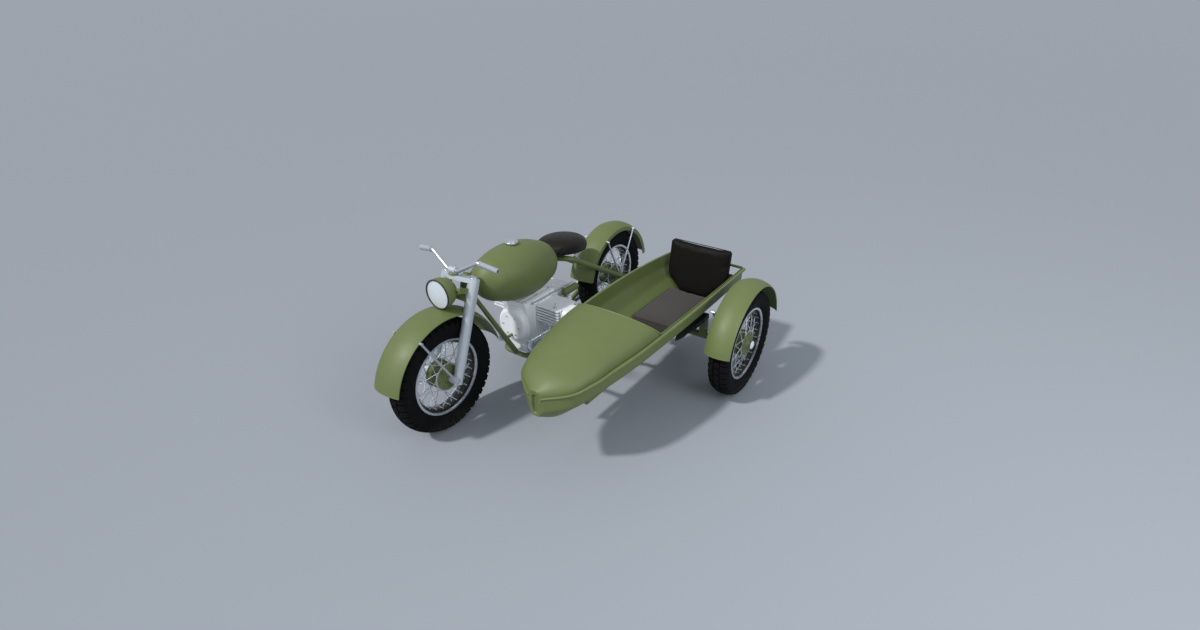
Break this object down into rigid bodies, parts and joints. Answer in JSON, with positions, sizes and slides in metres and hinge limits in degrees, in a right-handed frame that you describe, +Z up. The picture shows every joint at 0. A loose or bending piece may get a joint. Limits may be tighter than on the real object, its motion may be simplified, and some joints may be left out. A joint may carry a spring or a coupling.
{
  "type": "sidecar motorcycle",
  "caption": "Flat-twin motorcycle with telescopic fork, egg-shaped tank and oval saddle, joined by struts to a boat-shaped open sidecar on a sprung chassis.",
  "frame": {"origin": "on the ground under the middle of the whole outfit", "axes": "+X forward, +Y to the rider's left, where the sidecar is, +Z up"},
  "size_m": [2.2924, 1.5181, 0.9368],
  "materials": {
    "green_paint": "semi-gloss olive green paint",
    "silver_paint": "satin silver",
    "bright_metal": "bright satin plating",
    "cast_alloy": "pale blasted casting",
    "tyre_rubber": "matt black, block tread",
    "grip_rubber": "pale grey ribbed grip",
    "seat_leather": "smooth dark brown-black hide",
    "cushion_fabric": "matt grey-brown cloth",
    "black_vinyl": "matt black covering",
    "black_steel": "black paint",
    "lens_glass": "fluted pale glass"
  },
  "bodies": {
    "root": {"air_cleaner": "green_paint", "carburettors": "cast_alloy", "cylinders": "cast_alloy", "engine_block": "cast_alloy", "engine_cover": "cast_alloy", "exhaust_pipes": "bright_metal", "filler_cap": "bright_metal", "final_drive": "cast_alloy", "footrests": "black_steel", "fuel_tank": "green_paint", "gearbox": "cast_alloy", "leaf_springs": "black_steel", "main_frame": "green_paint", "rear_axle": "bright_metal", "rear_mudguard": "green_paint", "rear_mudguard_panel": "green_paint", "rear_stays": "bright_metal", "rocker_covers": "cast_alloy", "saddle": "seat_leather", "saddle_spring": "bright_metal", "sidecar_axle": "bright_metal", "sidecar_backrest": "black_vinyl", "sidecar_body": "green_paint", "sidecar_cowl": "green_paint", "sidecar_frame": "green_paint", "sidecar_hub_cap": "bright_metal", "sidecar_mudguard": "green_paint", "sidecar_mudguard_stays": "bright_metal", "sidecar_seat": "cushion_fabric", "sidecar_struts": "green_paint"},
    "steering": {"bottom_clamp": "green_paint", "fork_legs": "silver_paint", "front_axle": "bright_metal", "front_mudguard": "green_paint", "front_stays": "bright_metal", "grips": "grip_rubber", "handlebar": "bright_metal", "headlamp_lens": "lens_glass", "headlamp_shell": "green_paint", "top_clamp": "silver_paint"},
    "front_wheel": {"front_hub": "green_paint", "front_rim": "bright_metal", "front_tyre": "tyre_rubber"},
    "rear_wheel": {"rear_hub": "green_paint", "rear_rim": "bright_metal", "rear_tyre": "tyre_rubber"},
    "sidecar_wheel": {"sidecar_hub": "green_paint", "sidecar_rim": "bright_metal", "sidecar_tyre": "tyre_rubber"}
  },
  "joints": [
    {"name": "steering", "type": "hinge", "parent": "root", "child": "steering", "pos_m": [0.53684, -0.46, 0.79783], "axis": [-0.3371, 0, 0.9415], "range_deg": [-38, 38]},
    {"name": "front_wheel_spin", "type": "hinge", "parent": "steering", "child": "front_wheel", "pos_m": [0.78321, -0.46, 0.315], "axis": [0, 1, 0], "continuous": true},
    {"name": "rear_wheel_spin", "type": "hinge", "parent": "root", "child": "rear_wheel", "pos_m": [-0.77879, -0.46, 0.315], "axis": [0, 1, 0], "continuous": true},
    {"name": "sidecar_wheel_spin", "type": "hinge", "parent": "root", "child": "sidecar_wheel", "pos_m": [-0.42579, 0.682, 0.315], "axis": [0, 1, 0], "continuous": true}
  ]
}
